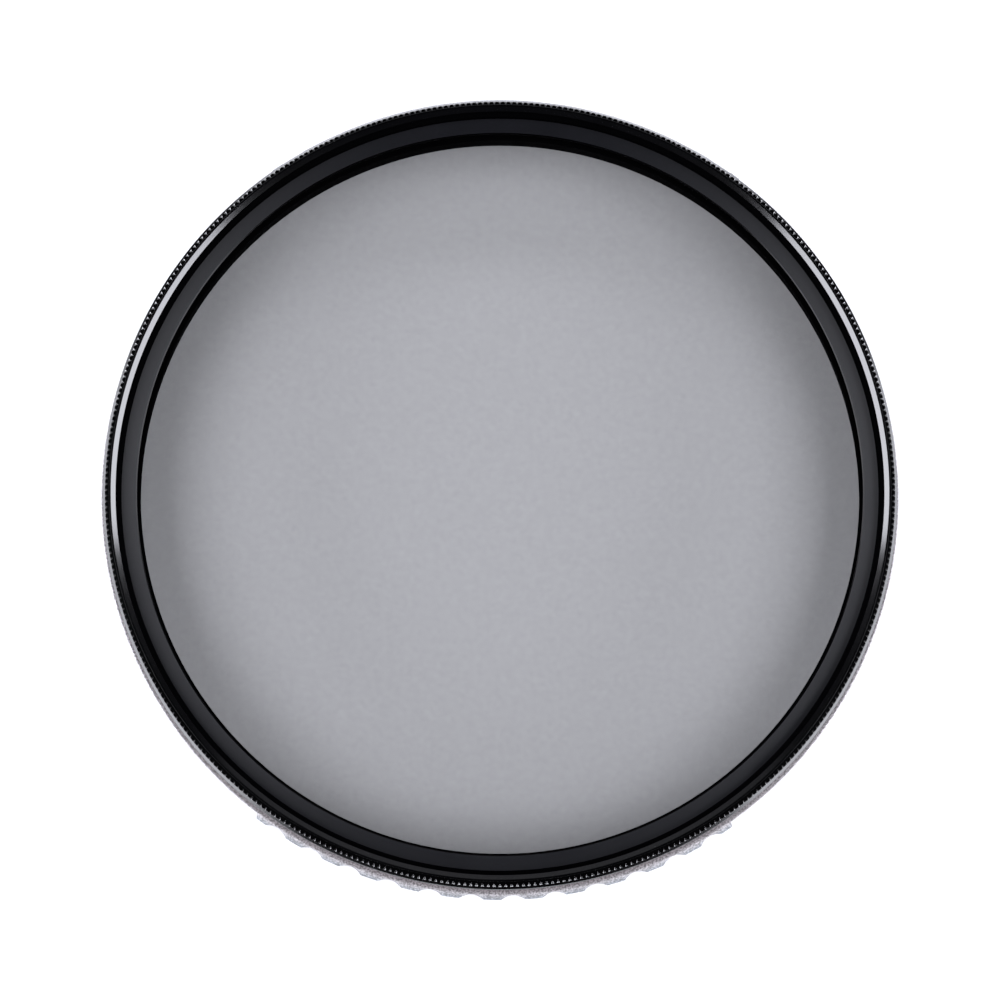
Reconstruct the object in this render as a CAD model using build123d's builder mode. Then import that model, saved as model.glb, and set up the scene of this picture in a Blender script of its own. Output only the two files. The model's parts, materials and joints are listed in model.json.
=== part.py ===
from build123d import *
import math
import os

# Screw-in circular polarising filter, lying on the rear end of its thread with the glass up.
# The optical axis is Z. Threads are turned to their crest radius here, with no helix.

# Filter thread, M77 x 0.75
thread_d = 77.0
thread_pitch = 0.75
male_r = thread_d / 2
thread_depth = 0.541 * thread_pitch
female_r = male_r - thread_depth
thread_entry = 0.35

# Heights of the base ring: male thread, then the grip rim
male_len = 2.1
grip_h = 2.1
socket_floor = 0.7
base_top = male_len + grip_h
socket_z = male_len + socket_floor

# Heights of the front ring, which turns on the base ring
seam_gap = 0.15
front_h = 4.8
front_depth = 1.8
ledge_t = 0.7
lip_drop = 1.4
lip_edge = 0.2
front_z0 = base_top + seam_gap
front_top = front_z0 + front_h
ledge_top = front_top - front_depth
seat_z = ledge_top - ledge_t
lip_top = front_top - lip_drop

# Radii of both rings, from the thread outward and inward
rim_wall = 1.42
rim_r = male_r + rim_wall
lead_in = 0.5
face_w = 0.04
face_r = male_r + lead_in + face_w
collar_edge = 0.1
collar_r = face_r + collar_edge
edge = 0.15
ledge_in = 2.0
ledge_r = male_r - ledge_in
bore_in = 1.75
base_bore_r = male_r - bore_in

# Knurl round the front ring, on the shoulder between its collar and its lip
knurl_count = 428
knurl_depth = 0.3
knurl_inset = 0.29
knurl_h = 0.4
knurl_r = rim_r - knurl_inset
knurl_root_r = knurl_r - knurl_depth

# Scalloped grips of the base ring, two groups on opposite sides
grip_step = 0.48
grip_stand = 0.48
grip_plain_r = rim_r + grip_stand
grip_tip_r = grip_plain_r + grip_step
grip_pitch = 5.9
grip_scallops = 12
grip_end = 0.6
grip_turn = -1.1
scallop_r = 1.8
scallop_depth = 0.46
grip_chamfer = 0.18
grip_half = grip_pitch * grip_scallops / 2 + grip_end

# Seat of the glass, and the fit of the skirt in the socket
seat_w = 0.75
glass_play = 0.05
skirt_wall = 1.05
running_play = 0.05
skirt_play = 0.1
glass_bore_r = ledge_r + seat_w
glass_r = glass_bore_r - glass_play
skirt_r = glass_bore_r + skirt_wall
socket_r = skirt_r + running_play
skirt_z0 = socket_z + skirt_play

# Split spring ring that snaps into the base ring and holds the skirt in its socket
snap_w = 0.5
snap_h = 0.5
snap_in_base = 0.26
snap_play = 0.02
snap_gap_deg = 12.0
snap_drop = 0.1
groove_play = 0.03
groove_depth = 0.45
snap_r = socket_r + snap_in_base
snap_z0 = (skirt_z0 + front_z0 - snap_h) / 2 - snap_drop
groove_z0 = snap_z0 - groove_play
groove_z1 = snap_z0 + snap_h + groove_play

# Laminated polariser and the ring that holds it in the front ring
glass_t = 0.7
film_t = 0.1
glass_edge = 0.1
retainer_t = 0.9
retainer_play = 0.03
retainer_set_back = 0.12
slot_w = 1.2
slot_depth = 0.45
film_z1 = seat_z - glass_t
film_z0 = film_z1 - film_t
retarder_z0 = film_z0 - film_t
rear_glass_z0 = retarder_z0 - glass_t
retainer_z0 = rear_glass_z0 - retainer_t
retainer_r = glass_bore_r - retainer_play
retainer_in_r = ledge_r + retainer_set_back

# Front ring: front thread, glass ledge, skirt with the snap groove
with BuildPart() as front_ring:
    with BuildSketch(Plane.XZ):
        with BuildLine():
            Polyline(
                (glass_bore_r, skirt_z0),
                (glass_bore_r, seat_z),
                (ledge_r, seat_z),
                (ledge_r, ledge_top - edge),
                (ledge_r + edge, ledge_top),
                (female_r, ledge_top),
                (female_r, front_top - (male_r + lead_in - female_r)),
                (male_r + lead_in, front_top),
                (face_r, front_top),
                (collar_r, front_top - collar_edge),
                (collar_r, lip_top),
                (rim_r - lip_edge, lip_top),
                (rim_r, lip_top - lip_edge),
                (rim_r, front_z0),
                (skirt_r, front_z0),
                (skirt_r, groove_z1),
                (skirt_r - groove_depth, groove_z1),
                (skirt_r - groove_depth, groove_z0),
                (skirt_r, groove_z0),
                (skirt_r, skirt_z0),
                close=True,
            )
        make_face()
    revolve(axis=Axis.Z)
    with BuildSketch(Plane.XY.offset(lip_top)):
        with BuildLine():
            tooth = 2 * math.pi / knurl_count
            ridges = []
            for i in range(knurl_count):
                crest = i * tooth
                root = crest + tooth / 2
                ridges.append((knurl_r * math.cos(crest), knurl_r * math.sin(crest)))
                ridges.append((knurl_root_r * math.cos(root), knurl_root_r * math.sin(root)))
            Polyline(*ridges, close=True)
        make_face()
        Circle(face_r, mode=Mode.SUBTRACT)
    extrude(amount=knurl_h)
front_ring.part.label = "front_ring"

# Base ring: male thread, socket with the snap groove, rim with two scalloped grips
with BuildPart() as base_ring:
    with BuildSketch(Plane.XZ):
        with BuildLine():
            Polyline(
                (base_bore_r, 0),
                (base_bore_r, socket_z),
                (socket_r, socket_z),
                (socket_r, groove_z0),
                (snap_r + snap_play, groove_z0),
                (snap_r + snap_play, groove_z1),
                (socket_r, groove_z1),
                (socket_r, base_top - edge),
                (socket_r + edge, base_top),
                (grip_tip_r - grip_chamfer, base_top),
                (grip_tip_r, base_top - grip_chamfer),
                (grip_tip_r, male_len + grip_chamfer),
                (grip_tip_r - grip_chamfer, male_len),
                (male_r, male_len),
                (male_r, thread_entry),
                (male_r - thread_entry, 0),
                close=True,
            )
        make_face()
    revolve(axis=Axis.Z)
    with BuildSketch(Plane.XY.offset(male_len).rotated((0, 0, grip_turn))):
        Circle(grip_tip_r + scallop_r)
        Circle(grip_plain_r, mode=Mode.SUBTRACT)
        reach = 2 * grip_tip_r
        spread = reach * math.tan(math.radians(grip_half))
        with BuildLine():
            Polyline((0, 0), (-spread, reach), (spread, reach), close=True)
        make_face(mode=Mode.SUBTRACT)
        with BuildLine():
            Polyline((0, 0), (spread, -reach), (-spread, -reach), close=True)
        make_face(mode=Mode.SUBTRACT)
        for middle in (90, 270):
            with PolarLocations(
                grip_tip_r - scallop_depth + scallop_r,
                grip_scallops,
                start_angle=middle - grip_pitch * (grip_scallops - 1) / 2,
                angular_range=grip_pitch * (grip_scallops - 1),
                endpoint=True,
            ):
                Circle(scallop_r)
    extrude(amount=grip_h, mode=Mode.SUBTRACT)
base_ring.part.label = "base_ring"

# Split spring ring
with BuildPart() as snap_ring:
    with BuildSketch(Plane.XZ):
        with Locations((snap_r, snap_z0)):
            Rectangle(snap_w, snap_h, align=(Align.MAX, Align.MIN))
    revolve(axis=Axis.Z, revolution_arc=360 - snap_gap_deg)
snap_ring.part.label = "snap_ring"

# Polarising film and quarter-wave film, cemented between two glass discs
with BuildPart() as front_glass:
    with BuildSketch(Plane.XY.offset(film_z1)):
        Circle(glass_r)
    extrude(amount=glass_t)
    chamfer(front_glass.faces().sort_by(Axis.Z)[-1].edges(), glass_edge)
front_glass.part.label = "front_glass"

with BuildPart() as polarising_film:
    with BuildSketch(Plane.XY.offset(film_z0)):
        Circle(glass_r)
    extrude(amount=film_t)
polarising_film.part.label = "polarising_film"

with BuildPart() as quarter_wave_film:
    with BuildSketch(Plane.XY.offset(retarder_z0)):
        Circle(glass_r)
    extrude(amount=film_t)
quarter_wave_film.part.label = "quarter_wave_film"

with BuildPart() as rear_glass:
    with BuildSketch(Plane.XY.offset(rear_glass_z0)):
        Circle(glass_r)
    extrude(amount=glass_t)
    chamfer(rear_glass.faces().sort_by(Axis.Z)[0].edges(), glass_edge)
rear_glass.part.label = "rear_glass"

# Ring that clamps the glass from behind, with two slots for a spanner
with BuildPart() as retaining_ring:
    with BuildSketch(Plane.XZ):
        with BuildLine():
            Polyline(
                (retainer_in_r, retainer_z0),
                (retainer_in_r, rear_glass_z0),
                (retainer_r, rear_glass_z0),
                (retainer_r, retainer_z0),
                close=True,
            )
        make_face()
    revolve(axis=Axis.Z)
    with BuildSketch(Plane.XY.offset(retainer_z0)):
        Rectangle(slot_w, 2 * retainer_r + slot_w)
    extrude(amount=slot_depth, mode=Mode.SUBTRACT)
retaining_ring.part.label = "retaining_ring"

os.makedirs("parts", exist_ok=True)
export_step(front_ring.part, "parts/front_ring.step")
export_step(base_ring.part, "parts/base_ring.step")
export_step(snap_ring.part, "parts/snap_ring.step")
export_step(front_glass.part, "parts/front_glass.step")
export_step(polarising_film.part, "parts/polarising_film.step")
export_step(quarter_wave_film.part, "parts/quarter_wave_film.step")
export_step(rear_glass.part, "parts/rear_glass.step")
export_step(retaining_ring.part, "parts/retaining_ring.step")
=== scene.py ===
# %% [markdown]
# # A screw-in polarising filter
# The filter lies on the rear end of its thread, with the glass up. A black front ring holds the
# glass and turns on a base ring, which screws into the lens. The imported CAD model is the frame:
# it fixes every size, so this lesson only gives the pieces their fine shape and their finish.

# %% Load the frame
import json
import math

import bpy
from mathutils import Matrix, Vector


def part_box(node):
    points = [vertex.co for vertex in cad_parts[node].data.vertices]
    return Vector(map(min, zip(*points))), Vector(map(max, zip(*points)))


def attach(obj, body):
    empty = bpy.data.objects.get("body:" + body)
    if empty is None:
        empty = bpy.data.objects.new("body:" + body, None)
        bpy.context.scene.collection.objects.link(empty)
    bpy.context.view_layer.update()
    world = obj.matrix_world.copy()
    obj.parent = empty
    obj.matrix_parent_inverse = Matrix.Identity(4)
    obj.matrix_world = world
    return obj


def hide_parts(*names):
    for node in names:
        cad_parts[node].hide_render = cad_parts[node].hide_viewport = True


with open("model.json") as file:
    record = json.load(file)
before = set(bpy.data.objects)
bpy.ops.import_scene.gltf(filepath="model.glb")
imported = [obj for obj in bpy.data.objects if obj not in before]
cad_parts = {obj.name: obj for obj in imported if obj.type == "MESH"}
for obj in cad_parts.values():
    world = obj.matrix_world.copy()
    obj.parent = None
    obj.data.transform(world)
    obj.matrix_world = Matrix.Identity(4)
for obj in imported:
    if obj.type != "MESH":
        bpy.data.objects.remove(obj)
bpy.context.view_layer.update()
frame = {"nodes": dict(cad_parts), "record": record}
MM = 0.001
print("frame nodes:", sorted(frame["nodes"]))

# %% [markdown]
# ## Sizes
# Heights and outer radii are read from the boxes of the CAD nodes, and the thread radii from the
# mounts in the record, so the fine meshes stay in register with the solids. Only the sizes of small
# edges, which a box does not give, are named here, where they are first needed.

# %% Read the sizes
mounts = {m["name"]: m for m in frame["record"]["mounts"]}
male_r = mounts["rear_thread"]["dims"]["r_mm"] * MM
crest_r = mounts["front_thread"]["dims"]["r_mm"] * MM
seat_z = mounts["lens_seat"]["pos_m"][2]

front_low, front_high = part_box("front_ring")
base_low, base_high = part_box("base_ring")
glass_low, glass_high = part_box("front_glass")
snap_low, snap_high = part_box("snap_ring")

front_top = front_high[2]
skirt_z0 = front_low[2]
base_top = base_high[2]
rim_r = front_high[0]
glass_r = glass_high[0]
glass_top = glass_high[2]

EDGE = 0.08 * MM
TINY = 0.01 * MM
thread_h = male_r - crest_r
print("front ring radius %.2f mm, height of the filter %.2f mm" % (rim_r / MM, front_top / MM))

# %% [markdown]
# ## Short helpers for node trees
# Every tree below is made of the same two moves: add a node, and wire or set its inputs. `add` does
# both, so that a tree reads like a recipe. `grow` runs a tree on an object and keeps the result as a
# plain mesh, because the export drops modifiers that are still live.

# %% Helpers for node trees
KINDS = {"INT": "NodeSocketInt", "FLOAT": "NodeSocketFloat", "MATERIAL": "NodeSocketMaterial"}


def add(tree, kind, inputs=(), **settings):
    """Adds a node, gives its properties their values, then wires or sets its inputs."""
    node = tree.nodes.new(kind)
    for key, value in settings.items():
        setattr(node, key, value)
    for key, value in dict(inputs).items():
        if isinstance(value, bpy.types.NodeSocket):
            tree.links.new(value, node.inputs[key])
        else:
            node.inputs[key].default_value = value
    return node


def math_node(tree, operation, a, b=0.0):
    """One Math node on sockets or numbers, and its output."""
    return add(tree, "ShaderNodeMath", {0: a, 1: b}, operation=operation).outputs[0]


def map_range(tree, value, from_low, from_high, to_low=0.0, to_high=1.0):
    """A value carried from one range to another, without passing the ends."""
    return add(tree, "ShaderNodeMapRange",
        {0: value, 1: from_low, 2: from_high, 3: to_low, 4: to_high}).outputs[0]


def geometry_tree(name, sockets):
    """An empty geometry tree with the named inputs, and its input node's sockets by name."""
    tree = bpy.data.node_groups.new(name, "GeometryNodeTree")
    tree.interface.new_socket("Geometry", in_out="INPUT", socket_type="NodeSocketGeometry")
    for label, kind in sockets.items():
        tree.interface.new_socket(label, in_out="INPUT", socket_type=KINDS[kind])
    tree.interface.new_socket("Geometry", in_out="OUTPUT", socket_type="NodeSocketGeometry")
    given = add(tree, "NodeGroupInput").outputs
    return tree, {s.name: s for s in given if s.name}


def grow(obj, tree, **values):
    """Runs a tree on an object with these inputs and keeps the result as its plain mesh."""
    modifier = obj.modifiers.new(tree.name, "NODES")
    modifier.node_group = tree
    for item in tree.interface.items_tree:
        key = item.name.replace(" ", "_").lower()
        if item.item_type == "SOCKET" and item.in_out == "INPUT" and key in values:
            modifier[item.identifier] = values[key]
    graph = bpy.context.evaluated_depsgraph_get()
    mesh = bpy.data.meshes.new_from_object(obj.evaluated_get(graph), depsgraph=graph)
    obj.modifiers.remove(modifier)
    obj.data = mesh
    obj.data.name = obj.name
    print(obj.name, "has", sum(len(p.vertices) - 2 for p in mesh.polygons), "triangles")
    return obj


def loop_object(name, points, closed=True):
    """A chain of edges through (radius, height) points, in the XZ plane, as the seed of a tree."""
    mesh = bpy.data.meshes.new(name)
    count = len(points)
    edges = [(i, (i + 1) % count) for i in range(count if closed else count - 1)]
    mesh.from_pydata([(r, 0.0, z) for r, z in points], edges, [])
    obj = bpy.data.objects.new(name, mesh)
    bpy.context.scene.collection.objects.link(obj)
    return obj


# %% [markdown]
# ## Shared effects for the finishes
# Both rings are turned on a lathe, so both carry fine circular tool marks. Both are then blasted
# before they are anodised, which leaves a dull grain. These two effects are node groups, built once
# and placed in each metal with its own values. Tool marks are rings about the Z axis, so they are a
# function of the radius and the height alone.

# %% Shader groups for tool marks and blasted grain
def shader_group(name, inputs, outputs):
    """An empty shader group with the named numbers in and out, and its input sockets by name."""
    group = bpy.data.node_groups.new(name, "ShaderNodeTree")
    for label, value in inputs.items():
        socket = group.interface.new_socket(label, in_out="INPUT", socket_type="NodeSocketFloat")
        socket.default_value = value
    for label in outputs:
        group.interface.new_socket(label, in_out="OUTPUT", socket_type="NodeSocketFloat")
    given = add(group, "NodeGroupInput").outputs
    return group, {s.name: s for s in given if s.name}


def distance_from_axis(tree, spot):
    """The radius and the height of a point, as sockets."""
    xyz = add(tree, "ShaderNodeSeparateXYZ", {0: spot}).outputs
    squares = math_node(tree, "ADD", math_node(tree, "MULTIPLY", xyz["X"], xyz["X"]),
        math_node(tree, "MULTIPLY", xyz["Y"], xyz["Y"]))
    return math_node(tree, "SQRT", squares), xyz


def make_tool_marks():
    """Rings of slightly uneven height, one every Spacing metres along the cut."""
    group, given = shader_group("Tool marks", {"Spacing": 0.1 * MM, "Unevenness": 0.6},
        ["Height", "Radius"])
    across, xyz = distance_from_axis(group, add(group, "ShaderNodeTexCoord").outputs["Object"])
    turn = math_node(group, "DIVIDE", math_node(group, "ADD", across, xyz["Z"]), given["Spacing"])
    marks = add(group, "ShaderNodeTexNoise", {"W": turn, "Scale": 1.0, "Detail": 2.0},
        noise_dimensions="1D").outputs[0]
    wave = math_node(group, "SINE", math_node(group, "MULTIPLY", turn, 2 * math.pi))
    part = math_node(group, "MULTIPLY", marks, given["Unevenness"])
    height = math_node(group, "ADD", math_node(group, "MULTIPLY", wave, 0.3), part)
    add(group, "NodeGroupOutput", {"Height": height, "Radius": across})
    return group


def make_blasted_grain():
    """Fine dents of two sizes, with a mask of the deepest ones."""
    group, given = shader_group("Blasted grain", {"Size": 0.12 * MM}, ["Height", "Pits"])
    spot = add(group, "ShaderNodeTexCoord").outputs["Object"]
    scale = math_node(group, "DIVIDE", 1.0, given["Size"])
    fine = add(group, "ShaderNodeTexNoise", {"Vector": spot, "Scale": scale, "Detail": 2.0}).outputs[0]
    cells = add(group, "ShaderNodeTexVoronoi", {"Vector": spot, "Scale": scale}).outputs["Distance"]
    height = math_node(group, "ADD", fine, math_node(group, "MULTIPLY", cells, 0.6))
    add(group, "NodeGroupOutput", {"Height": height, "Pits": map_range(group, fine, 0.4, 0.62)})
    return group


tool_marks = make_tool_marks()
blasted_grain = make_blasted_grain()
print("shader groups:", tool_marks.name, "and", blasted_grain.name)

# %% [markdown]
# ## Turned metal
# One recipe serves every metal here: a colour that drifts between a dark and a light value, a gloss
# that drifts with it, and a bump of tool marks under blasted dents. The dye of black anodising sits in
# a clear oxide layer, so that metal behaves like a dark plastic: a nearly black colour below and a
# weak, neutral reflection on top. Bare metal has Metallic turned up instead.


# %% Turned metal
def blank(name):
    """A material with an empty node tree."""
    material = bpy.data.materials.new(name)
    material.use_nodes = True
    material.node_tree.nodes.clear()
    return material, material.node_tree


def place_group(tree, group, **values):
    """A shader group in a material, with its own values, and the sockets that it puts out."""
    node = add(tree, "ShaderNodeGroup", node_tree=group)
    for label, value in values.items():
        node.inputs[label].default_value = value
    return node.outputs


def relief(tree, marks, marks_height, grain, grain_height):
    """The normal of a surface with tool marks and blasted dents."""
    lathe = add(tree, "ShaderNodeBump", {"Height": marks, "Distance": marks_height, "Strength": 1.0})
    dents = add(tree, "ShaderNodeBump", {"Height": grain, "Distance": grain_height, "Strength": 1.0,
        "Normal": lathe.outputs[0]})
    return dents.outputs[0]


def metal(name, dark, light, rough, marks, grain, spacing, metallic=0.0, ior=1.5, gloss=0.5, stretch=0.0):
    """A turned and blasted metal. rough is its range of roughness; marks and grain are bump heights.

    gloss is the level of the reflection. stretch widens the reflection across the tool marks.
    """
    material, tree = blank(name)
    spot = add(tree, "ShaderNodeTexCoord").outputs["Object"]
    drift = add(tree, "ShaderNodeTexNoise", {"Vector": spot, "Scale": 180.0, "Detail": 3.0}).outputs[0]
    turned_marks = place_group(tree, tool_marks, Spacing=spacing)
    blasted = place_group(tree, blasted_grain, Size=0.09 * MM)
    blend = math_node(tree, "MULTIPLY", drift, blasted["Pits"])
    colour = add(tree, "ShaderNodeMix", {0: blend, 6: (*dark, 1.0), 7: (*light, 1.0)}, data_type="RGBA")
    normal = relief(tree, turned_marks["Height"], marks, blasted["Height"], grain)
    around = add(tree, "ShaderNodeTangent", direction_type="RADIAL", axis="Z").outputs[0]
    shader = add(tree, "ShaderNodeBsdfPrincipled", {"Base Color": colour.outputs[2],
        "Roughness": map_range(tree, drift, 0.3, 0.7, *rough), "Metallic": metallic, "IOR": ior,
        "Specular IOR Level": gloss, "Anisotropic": stretch, "Anisotropic Rotation": 0.25,
        "Tangent": around, "Normal": normal})
    add(tree, "ShaderNodeOutputMaterial", {"Surface": shader.outputs[0]})
    return material


black = metal("collar_black", (0.0002, 0.0002, 0.0003), (0.0006, 0.0006, 0.0008), (0.2, 0.26),
    0.001 * MM, 0.001 * MM, 0.09 * MM, gloss=0.1)
ledge_black = metal("turned_ledge", (0.0025, 0.0026, 0.0036), (0.005, 0.0052, 0.0068), (0.5, 0.56),
    0.001 * MM, 0.001 * MM, 0.1 * MM, gloss=0.38, stretch=0.9)
matt_black = metal("matt_black", (0.0002, 0.0002, 0.0003), (0.0006, 0.0006, 0.0008), (0.7, 0.85),
    0.004 * MM, 0.004 * MM, 0.12 * MM, gloss=0.005)
cut_black = metal("cut_edge", (0.0006, 0.0006, 0.0008), (0.0018, 0.0018, 0.0023), (0.15, 0.18),
    0.0004 * MM, 0.0003 * MM, 0.05 * MM, ior=1.52)
lip_black = metal("knurled_lip", (0.0008, 0.0008, 0.001), (0.002, 0.002, 0.0026), (0.15, 0.21),
    0.0004 * MM, 0.0006 * MM, 0.05 * MM, ior=1.82)
notch_black = metal("knurl_notch", (0.0008, 0.0008, 0.001), (0.002, 0.002, 0.0026), (0.22, 0.28),
    0.0004 * MM, 0.0006 * MM, 0.05 * MM, ior=1.9, gloss=0.65)
satin_black = metal("satin_black", (0.006, 0.006, 0.007), (0.014, 0.014, 0.016), (0.34, 0.46),
    0.002 * MM, 0.003 * MM, 0.1 * MM)
spring = metal("spring_metal", (0.42, 0.42, 0.43), (0.58, 0.58, 0.59), (0.25, 0.35),
    0.002 * MM, 0.001 * MM, 0.06 * MM, metallic=1.0)
print("metals:", [m.name for m in (black, ledge_black, matt_black, cut_black, lip_black, notch_black, satin_black, spring)])

# %% [markdown]
# ## Bare rim
# The rim of the base ring is cut after the ring is anodised, so bare metal shows there: pale, with a
# coarse sparkle from the blasting. Its colour follows the radius: darker and a little warm near the seam,
# which is painted shade cast by the front ring's rim, and cool and a little darker towards the teeth.
# Blasted metal scatters light almost like paint, which is why it is only half metallic.


# %% Bare rim
def make_rim_metal(name, seam_r, tooth_r):
    material, tree = blank(name)
    turned_marks = place_group(tree, tool_marks, Spacing=0.12 * MM)
    blasted = place_group(tree, blasted_grain, Size=0.19 * MM)
    outward = map_range(tree, turned_marks["Radius"], seam_r, tooth_r)
    ramp = add(tree, "ShaderNodeValToRGB", {0: outward})
    stops = ramp.color_ramp.elements
    # The stop at the seam is painted shade: darker and warm where the front ring's rim shades the bare metal.
    stops[0].color = (0.17, 0.147, 0.15, 1.0)
    stops[1].color = (0.195, 0.213, 0.228, 1.0)
    stops.new(0.5).color = (0.29, 0.278, 0.282, 1.0)
    tint_with_seam_shade = ramp.outputs[0]
    sparkle = map_range(tree, blasted["Pits"], 0.0, 1.0, 0.55, 1.5)
    colour = add(tree, "ShaderNodeVectorMath", {0: tint_with_seam_shade, "Scale": sparkle}, operation="SCALE").outputs[0]
    normal = relief(tree, turned_marks["Height"], 0.002 * MM, blasted["Height"], 0.02 * MM)
    shader = add(tree, "ShaderNodeBsdfPrincipled", {"Base Color": colour,
        "Roughness": map_range(tree, blasted["Pits"], 0.0, 1.0, 0.6, 0.42), "Metallic": 0.4,
        "Normal": normal})
    add(tree, "ShaderNodeOutputMaterial", {"Surface": shader.outputs[0]})
    return material


rim_metal = make_rim_metal("blasted_rim", rim_r, base_high[1])
print("bare metal:", rim_metal.name)

# %% [markdown]
# ## Polarising glass
# The polarising foil and the quarter-wave foil are cemented between two glass discs, and what the eye
# sees is one clear, grey disc. Refraction hardly shows in a flat disc, so the material is a dark gloss
# that is mostly see-through: each face holds back a share of the light, its Alpha, and more of it at a
# flat angle. The coated faces reflect little. A stretched foil is never quite even, so the share is
# faintly mottled.


# %% Polarising glass
def make_laminate(name, cover, grazing_cover):
    """cover is the share of the light that a face holds back when it is seen straight on."""
    material, tree = blank(name)
    spot = add(tree, "ShaderNodeTexCoord").outputs["Object"]
    mottle = add(tree, "ShaderNodeTexNoise", {"Vector": spot, "Scale": 1500.0, "Detail": 2.0}).outputs[0]
    facing = add(tree, "ShaderNodeLayerWeight", {"Blend": 0.5}).outputs["Facing"]
    even = map_range(tree, mottle, 0.3, 0.7, cover - 0.012, cover + 0.012)
    share = math_node(tree, "ADD", even, map_range(tree, facing, 0.6, 1.0, 0.0, grazing_cover))
    shader = add(tree, "ShaderNodeBsdfPrincipled", {"Base Color": (0.0005, 0.0005, 0.0007, 1.0),
        "Roughness": map_range(tree, mottle, 0.3, 0.7, 0.02, 0.05), "IOR": 1.5, "Alpha": share})
    add(tree, "ShaderNodeOutputMaterial", {"Surface": shader.outputs[0]})
    return material


laminate = make_laminate("polarising_glass", 0.29, 0.4)
print("clear finish:", laminate.name)

# %% [markdown]
# ## A lathe in Geometry Nodes
# A turned ring is one outline carried round a circle. Curve to Mesh does exactly that: the outline is
# the profile and the circle is the path. The profile's X axis follows the radius and its Y axis points
# down, so the outline is first turned a quarter about X. Edges that meet at a sharp angle are marked
# sharp, so that turned corners stay crisp. A finish is laid on the faces whose middle passes a test on
# radius and height.


# %% Lathe tree
def place_of(tree):
    """The radius, height and angle of each point, as sockets."""
    across, xyz = distance_from_axis(tree, add(tree, "GeometryNodeInputPosition").outputs[0])
    return across, xyz["Z"], math_node(tree, "ARCTAN2", xyz["Y"], xyz["X"])


def turned(tree, outline, segments, path_r):
    """The outline carried round the Z axis."""
    chain = add(tree, "GeometryNodeMeshToCurve", {"Mesh": outline}).outputs[0]
    shift = add(tree, "ShaderNodeCombineXYZ", {0: math_node(tree, "MULTIPLY", path_r, -1.0)}).outputs[0]
    profile = add(tree, "GeometryNodeTransform", {"Geometry": chain, "Translation": shift,
        "Rotation": (math.pi / 2, 0.0, 0.0)}).outputs[0]
    path = add(tree, "GeometryNodeCurvePrimitiveCircle", {"Resolution": segments, "Radius": path_r},
        mode="RADIUS").outputs[0]
    return add(tree, "GeometryNodeCurveToMesh", {"Curve": path, "Profile Curve": profile}).outputs[0]


def push_in(tree, mesh, chosen, depth):
    """Moves the chosen points towards the axis by a depth."""
    spot = add(tree, "GeometryNodeInputPosition").outputs[0]
    flat = add(tree, "ShaderNodeVectorMath", {0: spot, 1: (1.0, 1.0, 0.0)}, operation="MULTIPLY").outputs[0]
    out = add(tree, "ShaderNodeVectorMath", {0: flat}, operation="NORMALIZE").outputs[0]
    move = add(tree, "ShaderNodeVectorMath", {0: out, "Scale": math_node(tree, "MULTIPLY", depth, -1.0)},
        operation="SCALE").outputs[0]
    return add(tree, "GeometryNodeSetPosition",
        {"Geometry": mesh, "Selection": chosen, "Offset": move}).outputs[0]


def lower(tree, mesh, chosen, depth):
    """Moves the chosen points down by a depth."""
    move = add(tree, "ShaderNodeCombineXYZ", {2: math_node(tree, "MULTIPLY", depth, -1.0)}).outputs[0]
    return add(tree, "GeometryNodeSetPosition",
        {"Geometry": mesh, "Selection": chosen, "Offset": move}).outputs[0]


def crisp(tree, mesh, degrees=22.0):
    """Smooth faces, with the edges over an angle marked sharp."""
    smooth = add(tree, "GeometryNodeSetShadeSmooth", {"Geometry": mesh, "Shade Smooth": True}).outputs[0]
    angle = add(tree, "GeometryNodeInputMeshEdgeAngle").outputs["Unsigned Angle"]
    hard = math_node(tree, "GREATER_THAN", angle, math.radians(degrees))
    store = add(tree, "GeometryNodeStoreNamedAttribute", {"Geometry": smooth, "Name": "sharp_edge",
        "Value": hard}, data_type="BOOLEAN", domain="EDGE")
    return store.outputs[0]


def over(tree, value, limit):
    return math_node(tree, "GREATER_THAN", value, limit)


def under(tree, value, limit):
    return math_node(tree, "LESS_THAN", value, limit)


def both(tree, a, b):
    """True where two conditions hold."""
    return math_node(tree, "MULTIPLY", a, b)


def painted(tree, mesh, finish, chosen=True):
    """The chosen faces get a finish."""
    return add(tree, "GeometryNodeSetMaterial",
        {"Geometry": mesh, "Selection": chosen, "Material": finish}).outputs[0]


def close_tree(tree, geometry):
    """Ends a tree: instances become real mesh, and the mesh goes out."""
    real = add(tree, "GeometryNodeRealizeInstances", {"Geometry": geometry})
    add(tree, "NodeGroupOutput", {"Geometry": real.outputs[0]})


# %% [markdown]
# ## Front ring
# Its outline runs up the glass bore, over the ledge that holds the glass, up the thread wall and the
# cut bevel, over the narrow front face and down the collar. Below the collar lies a flat shoulder with
# a sloping lip outside it. The knurl is a row of V notches in the outer edge of the shoulder. Every
# tooth has four points round that edge: three stay up, and the fourth goes down. Each quad next to it is
# then split along its shorter diagonal, which leaves two flat flanks that meet in a sharp valley.

# %% Front ring tree
KNURL_COUNT = 428


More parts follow.
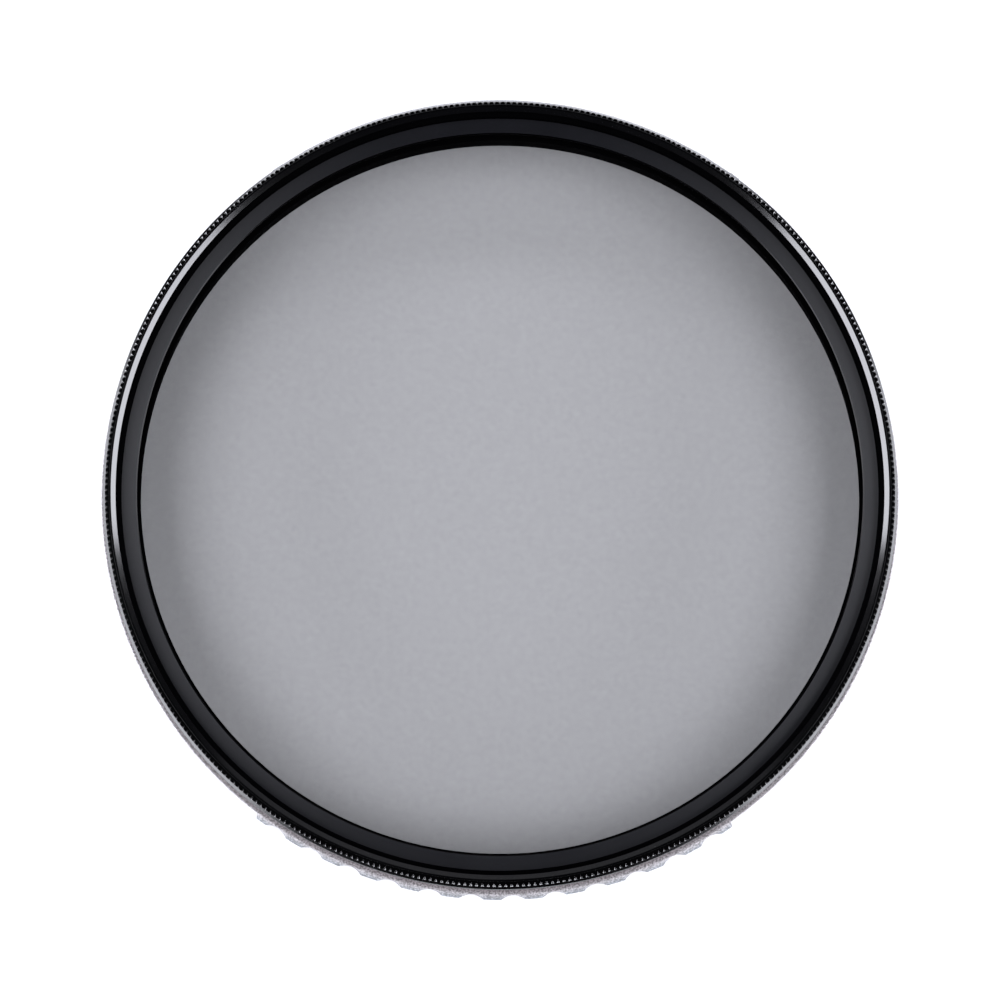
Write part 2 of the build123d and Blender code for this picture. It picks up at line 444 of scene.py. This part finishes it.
def make_knurl_tree():
    tree, given = geometry_tree("Knurled ring", {"Teeth": "INT", "Path Radius": "FLOAT",
        "Depth": "FLOAT", "Root Radius": "FLOAT", "Crest Radius": "FLOAT", "Knurl Top": "FLOAT",
        "Lip Low": "FLOAT", "Ledge": "FLOAT", "Ledge Edge": "FLOAT", "Bevel Low": "FLOAT",
        "Bevel Radius": "FLOAT", "Bore Radius": "FLOAT", "Body": "MATERIAL", "Walls": "MATERIAL", "Ledge Finish": "MATERIAL",
        "Cut": "MATERIAL", "Lip": "MATERIAL", "Notch": "MATERIAL"})
    ring = turned(tree, given["Geometry"], math_node(tree, "MULTIPLY", given["Teeth"], 4.0),
        given["Path Radius"])
    across, height, angle = place_of(tree)
    teeth = math_node(tree, "MULTIPLY", math_node(tree, "DIVIDE", angle, 2 * math.pi), given["Teeth"])
    away = math_node(tree, "PINGPONG", teeth, 0.5)
    notch = math_node(tree, "MAXIMUM", math_node(tree, "SUBTRACT", 1.0,
        math_node(tree, "MULTIPLY", away, 4.0)), 0.0)
    outside = over(tree, across, given["Root Radius"])
    edge = both(tree, both(tree, outside, under(tree, across, given["Crest Radius"])),
        over(tree, height, given["Knurl Top"]))
    notched = lower(tree, ring, edge, math_node(tree, "MULTIPLY", notch, given["Depth"]))
    flat = add(tree, "GeometryNodeTriangulate", {"Mesh": notched}).outputs[0]
    body = painted(tree, crisp(tree, flat), given["Body"])
    inner = painted(tree, body, given["Walls"], under(tree, across,
        math_node(tree, "ADD", given["Path Radius"], TINY)))
    in_bore = under(tree, across, given["Bore Radius"])
    edged = painted(tree, inner, given["Body"], both(tree, over(tree, height, given["Ledge Edge"]), in_bore))
    ledge = painted(tree, edged, given["Ledge Finish"], both(tree, over(tree, height, given["Ledge"]), in_bore))
    lead = both(tree, over(tree, height, given["Bevel Low"]), under(tree, across, given["Bevel Radius"]))
    bevelled = painted(tree, ledge, given["Cut"], lead)
    sloped = both(tree, both(tree, outside, over(tree, height, given["Lip Low"])),
        under(tree, height, given["Knurl Top"]))
    lipped = painted(tree, bevelled, given["Lip"], sloped)
    on_top = under(tree, across, math_node(tree, "SUBTRACT", given["Crest Radius"], 0.05 * MM))
    close_tree(tree, painted(tree, lipped, given["Notch"], both(tree, sloped, on_top)))
    return tree


# %% Front ring
lead_w = 0.44 * MM
lead_h = 0.4 * MM
collar_w = 0.2 * MM
collar_edge = 0.03 * MM
lip_drop = 1.4 * MM
lip_slope = 0.11 * MM
lip_edge = 0.04 * MM
knurl_h = 0.4 * MM
knurl_inset = 0.29 * MM
knurl_w = 0.3 * MM
notch_depth = 0.13 * MM
ledge_depth = 1.8 * MM
ledge_edge = 0.09 * MM
relief_w = 0.06 * MM
seat_w = 0.75 * MM
glass_play = 0.05 * MM
seam_gap = 0.15 * MM
skirt_wall = 1.05 * MM
groove_depth = 0.45 * MM

glass_bore_r = glass_r + glass_play
ledge_r = glass_bore_r - seat_w
ledge_top = front_top - ledge_depth
front_z0 = base_top + seam_gap
lip_top = front_top - lip_drop
knurl_top = lip_top + knurl_h
knurl_r = rim_r - knurl_inset
knurl_root_r = knurl_r - knurl_w
skirt_r = glass_bore_r + skirt_wall
bevel_r = male_r + lead_w
relief_r = crest_r - relief_w
collar_r = bevel_r + collar_w
lip_low = lip_top - lip_slope

front_outline = [
    (glass_bore_r, skirt_z0),
    (glass_bore_r, glass_top),
    (ledge_r, glass_top),
    (ledge_r, ledge_top - ledge_edge),
    (ledge_r + ledge_edge, ledge_top),
    (relief_r, ledge_top),
    (male_r, ledge_top),
    (male_r, front_top - lead_h),
    (bevel_r, front_top),
    (collar_r - collar_edge, front_top),
    (collar_r, front_top - collar_edge),
    (collar_r, knurl_top),
    (knurl_root_r, knurl_top),
    (knurl_r, knurl_top),
    (knurl_r, lip_top),
    (rim_r - lip_edge, lip_low),
    (rim_r, lip_low - 2 * lip_edge),
    (rim_r, front_z0 + EDGE),
    (rim_r - EDGE, front_z0),
    (skirt_r, front_z0),
    (skirt_r, snap_high[2]),
    (skirt_r - groove_depth, snap_high[2]),
    (skirt_r - groove_depth, snap_low[2]),
    (skirt_r, snap_low[2]),
    (skirt_r, skirt_z0),
]
front_ring = grow(loop_object("front_ring_fine", front_outline), make_knurl_tree(), teeth=KNURL_COUNT,
    path_radius=male_r, depth=notch_depth, root_radius=knurl_root_r + TINY, crest_radius=knurl_r + TINY,
    knurl_top=knurl_top - TINY, lip_low=lip_low - 2 * lip_edge, ledge=ledge_top - TINY, ledge_edge=ledge_top - ledge_edge,
    bevel_low=front_top - lead_h, bevel_radius=bevel_r, bore_radius=relief_r, body=black,
    walls=matt_black, ledge_finish=ledge_black, cut=cut_black, lip=lip_black,
    notch=notch_black)

# %% [markdown]
# ## Base ring
# The base ring is turned the same way, with the rim at the radius of the tooth tips. A milling cutter
# then takes round scallops out of two groups on opposite sides, and the rim between the groups down
# to the plain radius. The tops of the teeth slope down. The depth at each angle follows from the cutter's circle, so the tree works it
# out from the angle to the nearest scallop. The rim shows bare metal, the rest is matt black.

# %% Base ring tree
BASE_SEGMENTS = 1440


def make_scallop_tree():
    tree, given = geometry_tree("Scalloped ring", {"Segments": "INT", "Path Radius": "FLOAT",
        "Pitch": "FLOAT", "Half Group": "FLOAT", "Turn": "FLOAT", "Tip Radius": "FLOAT",
        "Cutter": "FLOAT", "Depth": "FLOAT", "Plain Step": "FLOAT", "Rim From": "FLOAT",
        "Rim Low": "FLOAT", "Bare From": "FLOAT", "Body": "MATERIAL", "Rim": "MATERIAL"})
    ring = turned(tree, given["Geometry"], given["Segments"], given["Path Radius"])
    across, height, angle = place_of(tree)
    off = math_node(tree, "ABSOLUTE", math_node(tree, "SUBTRACT",
        math_node(tree, "ABSOLUTE", angle), math.pi / 2))
    half_pitch = math_node(tree, "MULTIPLY", given["Pitch"], 0.5)
    to_valley = math_node(tree, "SUBTRACT", half_pitch, math_node(tree, "PINGPONG", off, half_pitch))
    centre = math_node(tree, "ADD", math_node(tree, "SUBTRACT", given["Tip Radius"], given["Depth"]),
        given["Cutter"])
    side = math_node(tree, "MULTIPLY", centre, math_node(tree, "SINE", to_valley))
    reach = math_node(tree, "SUBTRACT", math_node(tree, "MULTIPLY", given["Cutter"], given["Cutter"]),
        math_node(tree, "MULTIPLY", side, side))
    floor_r = math_node(tree, "SUBTRACT",
        math_node(tree, "MULTIPLY", centre, math_node(tree, "COSINE", to_valley)),
        math_node(tree, "SQRT", math_node(tree, "MAXIMUM", reach, 0.0)))
    scallop = math_node(tree, "MAXIMUM", math_node(tree, "SUBTRACT", given["Tip Radius"], floor_r), 0.0)
    grouped = under(tree, off, given["Half Group"])
    depth = math_node(tree, "ADD", math_node(tree, "MULTIPLY", grouped, scallop),
        math_node(tree, "MULTIPLY", math_node(tree, "SUBTRACT", 1.0, grouped), given["Plain Step"]))
    outer = both(tree, over(tree, across, given["Rim From"]), over(tree, height, given["Rim Low"]))
    body = painted(tree, crisp(tree, push_in(tree, ring, outer, depth)), given["Body"])
    shown = both(tree, over(tree, across, given["Bare From"]), over(tree, height, given["Rim Low"]))
    bare = painted(tree, body, given["Rim"], shown)
    about_z = add(tree, "ShaderNodeCombineXYZ", {2: given["Turn"]}).outputs[0]
    close_tree(tree, add(tree, "GeometryNodeTransform", {"Geometry": bare, "Rotation": about_z}).outputs[0])
    return tree


# %% Base ring
bore_in = 1.75 * MM
socket_floor = 0.7 * MM
running_play = 0.05 * MM
groove_play = 0.03 * MM
snap_play = 0.02 * MM
grip_pitch = math.radians(5.9)
grip_scallops = 12
grip_end = math.radians(0.6)
grip_turn = math.radians(-1.1)
grip_step = 0.49 * MM
grip_chamfer = 0.18 * MM
grip_slope = 1.2 * MM
rim_edge = 0.08 * MM
cutter_r = 1.8 * MM
scallop_depth = 0.46 * MM
bare_w = 2.0 * MM

base_bore_r = male_r - bore_in
tip_r = base_high[1]
root_r = male_r - thread_h - EDGE
socket_r = skirt_r + running_play
groove_r = snap_high[0] + snap_play
groove_low = snap_low[2] - groove_play
groove_high = snap_high[2] + groove_play

base_outline = [
    (base_bore_r + EDGE, 0.0),
    (base_bore_r, EDGE),
    (base_bore_r, seat_z + socket_floor),
    (socket_r, seat_z + socket_floor),
    (socket_r, groove_low),
    (groove_r, groove_low),
    (groove_r, groove_high),
    (socket_r, groove_high),
    (socket_r, base_top - EDGE),
    (socket_r + EDGE, base_top),
    (tip_r - grip_step - rim_edge, base_top),
    (tip_r - grip_step, base_top - rim_edge),
    (tip_r, base_top - grip_slope),
    (tip_r, seat_z + grip_chamfer),
    (tip_r - grip_chamfer, seat_z),
    (root_r, seat_z),
    (root_r, 2 * EDGE),
    (root_r - 2 * EDGE, 0.0),
]
base_ring = grow(loop_object("base_ring_fine", base_outline), make_scallop_tree(), segments=BASE_SEGMENTS,
    path_radius=male_r, pitch=grip_pitch, half_group=grip_pitch * grip_scallops / 2 + grip_end,
    turn=grip_turn, tip_radius=tip_r, cutter=cutter_r, depth=scallop_depth, plain_step=grip_step,
    rim_from=tip_r - grip_step + TINY, rim_low=seat_z - EDGE, bare_from=tip_r - bare_w, body=matt_black,
    rim=rim_metal)

# %% [markdown]
# ## Threads
# A thread is a ridge that climbs round the wall. Geometry Nodes has a spiral curve, and the ridge's
# outline is carried along it. The curve's radius shrinks to nothing at both ends, so that the thread
# runs out as a cut one does. The spiral's own X axis points to the axis, so the ridge of the front, which
# stands inward, lies on its positive side, and the one of the lens side on its negative side.


# %% Thread tree
def make_thread_tree():
    tree, given = geometry_tree("Thread", {"Turns": "FLOAT", "Radius": "FLOAT", "Height": "FLOAT",
        "Start": "FLOAT", "Resolution": "INT", "Runout": "FLOAT", "Finish": "MATERIAL"})
    chain = add(tree, "GeometryNodeMeshToCurve", {"Mesh": given["Geometry"]}).outputs[0]
    profile = add(tree, "GeometryNodeTransform",
        {"Geometry": chain, "Rotation": (math.pi / 2, 0.0, 0.0)}).outputs[0]
    path = add(tree, "GeometryNodeCurveSpiral", {"Resolution": given["Resolution"],
        "Rotations": given["Turns"], "Start Radius": given["Radius"], "End Radius": given["Radius"],
        "Height": given["Height"], "Reverse": False}).outputs[0]
    upright = add(tree, "GeometryNodeSetCurveNormal", {"Curve": path}, mode="Z_UP").outputs[0]
    along = add(tree, "GeometryNodeSplineParameter").outputs["Factor"]
    ends = math_node(tree, "MULTIPLY", math_node(tree, "PINGPONG", along, 0.5), given["Runout"])
    size = math_node(tree, "MINIMUM", math_node(tree, "ADD", ends, 0.05), 1.0)
    sized = add(tree, "GeometryNodeSetCurveRadius", {"Curve": upright, "Radius": size}).outputs[0]
    ridge = add(tree, "GeometryNodeCurveToMesh",
        {"Curve": sized, "Profile Curve": profile, "Fill Caps": True}).outputs[0]
    lift = add(tree, "ShaderNodeCombineXYZ", {2: given["Start"]}).outputs[0]
    placed = add(tree, "GeometryNodeTransform", {"Geometry": ridge, "Translation": lift}).outputs[0]
    close_tree(tree, painted(tree, crisp(tree, placed), given["Finish"]))
    return tree


# %% Threads of both ends
thread_tree = make_thread_tree()
PITCH = 0.75 * MM
sink = 0.06 * MM
flank = 0.34 * MM
crest = 0.05 * MM


def thread(name, wall_r, height_from, height_to, inward, finish):
    """A ridge on a wall, from one height to another, standing inward (1) or outward (-1)."""
    half = [(-sink, flank), (thread_h, crest)]
    ridge = half + [(x, -y) for x, y in reversed(half)]
    climb = height_to - height_from
    return grow(loop_object(name, [(x * inward, y * inward) for x, y in ridge]), thread_tree,
        turns=climb / PITCH, radius=wall_r, height=climb, start=height_from, resolution=220, runout=12.0,
        finish=finish)


rear_thread = thread("rear_thread_ridge", male_r - thread_h, 0.38 * MM, seat_z - 0.35 * MM, -1, satin_black)
front_thread = thread("front_thread_ridge", male_r, ledge_top + 0.1 * MM, front_top - 0.85 * MM, 1, matt_black)

# %% [markdown]
# ## Glass disc and retaining ring
# The disc is turned too, with a small ground edge, and it is a hair thinner than the four solids that
# it stands for. Its edge is blackened, and a narrow border of its rear face just inside the ledge is
# painted black as painted shade, the dark line where the ledge keeps light from the glass's edge. The
# retaining ring behind it has two slots for a spanner. Like the snap ring, it stays as the CAD made it
# and only gets its finish.


# %% Disc tree
def make_disc_tree():
    tree, given = geometry_tree("Disc", {"Segments": "INT", "Path Radius": "FLOAT", "Border": "FLOAT",
        "Front": "FLOAT", "Finish": "MATERIAL", "Edge Finish": "MATERIAL"})
    wall = turned(tree, given["Geometry"], given["Segments"], given["Path Radius"])
    near = add(tree, "GeometryNodeMergeByDistance", {"Geometry": wall, "Distance": 1e-7}).outputs[0]
    across, height, angle = place_of(tree)
    clear = painted(tree, crisp(tree, near), given["Finish"])
    # The edge is blackened; the black border of the rear face is painted shade.
    edge = both(tree, over(tree, across, given["Border"]), under(tree, height, given["Front"]))
    close_tree(tree, painted(tree, clear, given["Edge Finish"], edge))
    return tree


# %% Glass disc
GLASS_NODES = ["front_glass", "polarising_film", "quarter_wave_film", "rear_glass"]
hair = 0.005 * MM
ground = 0.1 * MM
# The black border of the rear face is painted shade along the ledge's inner edge.
shade_border_w = 0.2 * MM

disc_low = min(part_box(node)[0][2] for node in GLASS_NODES) + hair
disc_high = glass_top - hair
shade_border_r = ledge_r - shade_border_w
disc_outline = [
    (0.0, disc_high),
    (glass_r - ground, disc_high),
    (glass_r, disc_high - ground),
    (glass_r, disc_low + ground),
    (glass_r - ground, disc_low),
    (shade_border_r, disc_low),
    (0.0, disc_low),
]
glass_disc = grow(loop_object("polarising_glass_disc", disc_outline, closed=False), make_disc_tree(),
    segments=256, path_radius=glass_r, border=shade_border_r, front=disc_high - TINY, finish=laminate,
    edge_finish=matt_black)

# %% [markdown]
# ## Bind the pieces to the frame
# Each fine piece rides on the body that its solid belongs to, and the CAD solids that a piece stands
# for are hidden.

# %% Bind the pieces
PIECES = [
    (front_ring, "front", "black_anodised", ["front_ring"]),
    (front_thread, "front", "black_anodised", []),
    (glass_disc, "front", "clear_glass", GLASS_NODES),
    (base_ring, "base", "bare_rim", ["base_ring"]),
    (rear_thread, "base", "black_anodised", []),
]
for obj, body, slot, nodes in PIECES:
    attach(obj, body)
    if nodes:
        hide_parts(*nodes)
for node, finish in (("retaining_ring", matt_black), ("snap_ring", spring)):
    frame["nodes"][node].data.materials.clear()
    frame["nodes"][node].data.materials.append(finish)
print("bound", len(PIECES), "pieces")

# %% [markdown]
# ## Floor and light
# The filter lies on a plain white floor. Two soft boxes stand low at its sides, a little to the front,
# so the cut bevel lights up at the left and the right. A wide, dimmer one stands behind it and lights
# the far lip. Nothing stands in front or overhead, and the surround is very dim, so the flat black
# parts stay black.


# %% Floor and light
def make_floor():
    mesh = bpy.data.meshes.new("floor")
    side = 3.0
    mesh.from_pydata([(-side, -side, 0), (side, -side, 0), (side, side, 0), (-side, side, 0)], [],
        [(0, 1, 2, 3)])
    obj = bpy.data.objects.new("floor", mesh)
    bpy.context.scene.collection.objects.link(obj)
    material = bpy.data.materials.new("white_floor")
    material.use_nodes = True
    shader = material.node_tree.nodes["Principled BSDF"]
    shader.inputs["Base Color"].default_value = (0.9, 0.9, 0.9, 1.0)
    shader.inputs["Roughness"].default_value = 0.8
    mesh.materials.append(material)


def soft_box(name, place, aim, width, height, power):
    data = bpy.data.lights.new(name, "AREA")
    data.shape = "RECTANGLE"
    data.size = width
    data.size_y = height
    data.energy = power
    data.color = (0.915, 0.925, 1.0)
    obj = bpy.data.objects.new(name, data)
    obj.location = place
    obj.rotation_euler = (Vector(aim) - Vector(place)).to_track_quat("-Z", "Y").to_euler()
    bpy.context.scene.collection.objects.link(obj)


make_floor()
for side, hand in ((-1, "left"), (1, "right")):
    soft_box(hand + "_low_box", (side * 0.55, -0.11, 0.13), (0.0, 0.0, 0.03), 0.56, 0.2, 5.2)
    soft_box(hand + "_high_box", (side * 0.38, -0.06, 0.46), (0.0, 0.0, 0.0), 0.66, 0.38, 4.4)
soft_box("back_box", (0.0, 0.58, 0.35), (0.0, 0.0, 0.0), 0.8, 0.1, 2.3)
soft_box("back_strip", (0.0, 0.7, 0.064), (0.0, 0.0, 0.0), 1.2, 0.1, 0.2)
world = bpy.data.worlds.new("surround")
world.use_nodes = True
world.node_tree.nodes["Background"].inputs["Color"].default_value = (1.0, 1.0, 1.0, 1.0)
world.node_tree.nodes["Background"].inputs["Strength"].default_value = 0.02
bpy.context.scene.world = world
bpy.context.scene.view_settings.view_transform = "Standard"

# %% [markdown]
# ## Camera
# The photograph looks almost straight down: the ellipses of the ring are six and a half degrees from
# circles. The rings at several heights drift apart in the picture, and by how much gives the distance.
# The lens follows from the size of the thread in the picture.

# %% Camera
PICTURE = 1000
SENSOR = 36.0
tilt = math.radians(6.5)
distance = 0.388
scale_px = 10.0 / MM
centre_px = (500.0, 488.5)

lens_px = scale_px * distance
aim = Vector(((PICTURE / 2 - centre_px[0]) / scale_px, (centre_px[1] - PICTURE / 2) / scale_px, front_top))
camera_data = bpy.data.cameras.new("camera")
camera_data.sensor_width = SENSOR
camera_data.lens = SENSOR * lens_px / PICTURE
camera_data.clip_start = 0.01
camera = bpy.data.objects.new("camera", camera_data)
camera.location = aim + distance * Vector((0.0, -math.sin(tilt), math.cos(tilt)))
camera.rotation_euler = (tilt, 0.0, 0.0)
bpy.context.scene.collection.objects.link(camera)
bpy.context.scene.camera = camera
print("lens %.1f mm at %.0f mm" % (camera_data.lens, distance / MM))
